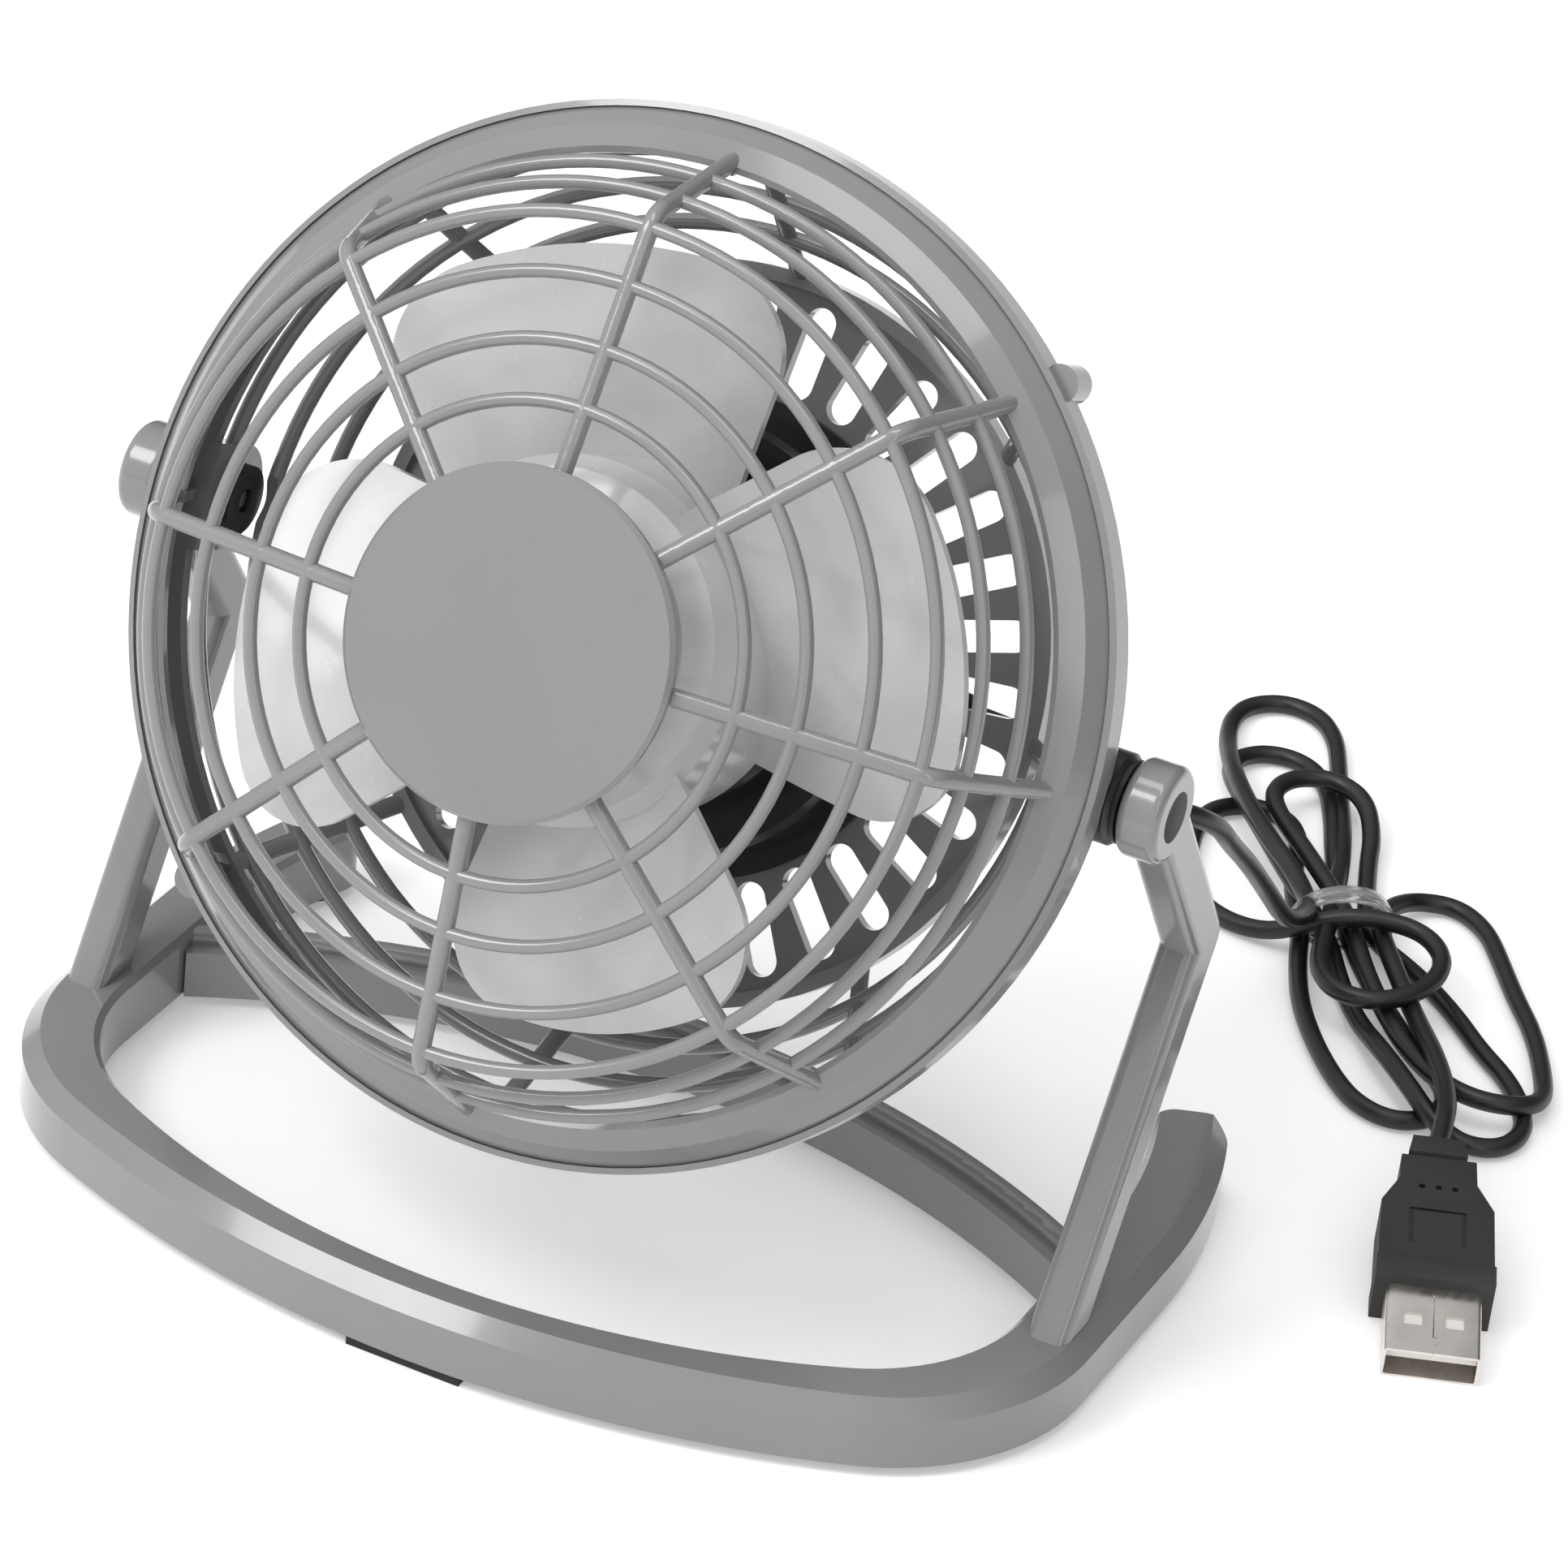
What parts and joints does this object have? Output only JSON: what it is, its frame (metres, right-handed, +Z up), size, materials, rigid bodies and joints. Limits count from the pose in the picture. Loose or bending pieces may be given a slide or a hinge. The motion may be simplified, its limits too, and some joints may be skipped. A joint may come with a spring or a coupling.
{
  "type": "desk fan",
  "caption": "Small desk fan: a round wire-guarded head with a four-bladed impeller tilts between two arms on a C-shaped stand, with a rocker switch and a tied USB cord.",
  "frame": {"origin": "centre of the footprint of the fan without its free cord, on the floor", "axes": "+Z up, the fan blows towards -Y, +X along the tilt axis"},
  "size_m": [0.1847, 0.2148, 0.1423],
  "materials": {
    "grey_plastic": "glossy moulded ABS",
    "black_plastic": "satin moulded",
    "black_gloss": "glossy moulded",
    "blade_plastic": "slightly translucent moulded",
    "black_rubber": "matt",
    "zinc_steel": "zinc plated",
    "magnet": "bare",
    "brass": "bare",
    "cord_jacket": "satin",
    "overmold": "matt",
    "nickel": "nickel plated",
    "clear_tie": "clear"
  },
  "bodies": {
    "stand": {"base_frame": "grey_plastic", "end_cap_left": "grey_plastic", "end_cap_right": "grey_plastic", "arm_left": "grey_plastic", "arm_right": "grey_plastic", "foot_pad_front": "black_rubber", "foot_pad_left": "black_rubber", "foot_pad_right": "black_rubber", "power_cord": "cord_jacket", "cord_hank": "cord_jacket", "cord_tie": "clear_tie", "plug_lead": "cord_jacket", "usb_overmold": "overmold", "usb_shell": "nickel", "usb_tongue": "black_plastic"},
    "head": {"front_grille": "grey_plastic", "hub_badge": "grey_plastic", "rear_guard": "grey_plastic", "guard_screw_upper": "zinc_steel", "guard_screw_lower": "zinc_steel", "pivot_boss_left": "black_plastic", "pivot_boss_right": "black_plastic", "washer_left": "black_plastic", "washer_right": "black_plastic", "pivot_screw_left": "zinc_steel", "pivot_screw_right": "zinc_steel", "motor_housing": "black_gloss", "rear_cover": "grey_plastic", "housing_screw_top": "zinc_steel", "housing_screw_left": "zinc_steel", "housing_screw_right": "zinc_steel", "motor_can": "zinc_steel", "motor_magnets": "magnet", "motor_end_cap": "black_plastic", "switch_body": "black_plastic", "cord_gland": "black_rubber", "cord_lead": "cord_jacket"},
    "rotor": {"impeller": "blade_plastic", "motor_shaft": "zinc_steel", "rotor_core": "magnet", "commutator": "brass"},
    "switch_rocker": {"rocker": "black_plastic"}
  },
  "joints": [
    {"name": "head_tilt", "type": "hinge", "parent": "stand", "child": "head", "pos_m": [0, 0.00216, 0.0795], "axis": [1, 0, 0], "range_deg": [-60, 60]},
    {"name": "blade_spin", "type": "hinge", "parent": "head", "child": "rotor", "pos_m": [0, 0.00216, 0.0795], "axis": [0, -0.9164, 0.4003], "continuous": true},
    {"name": "switch_rock", "type": "hinge", "parent": "head", "child": "switch_rocker", "pos_m": [0, 0.03148, 0.06669], "axis": [-1, 0, 0], "range_deg": [0, 16]}
  ]
}
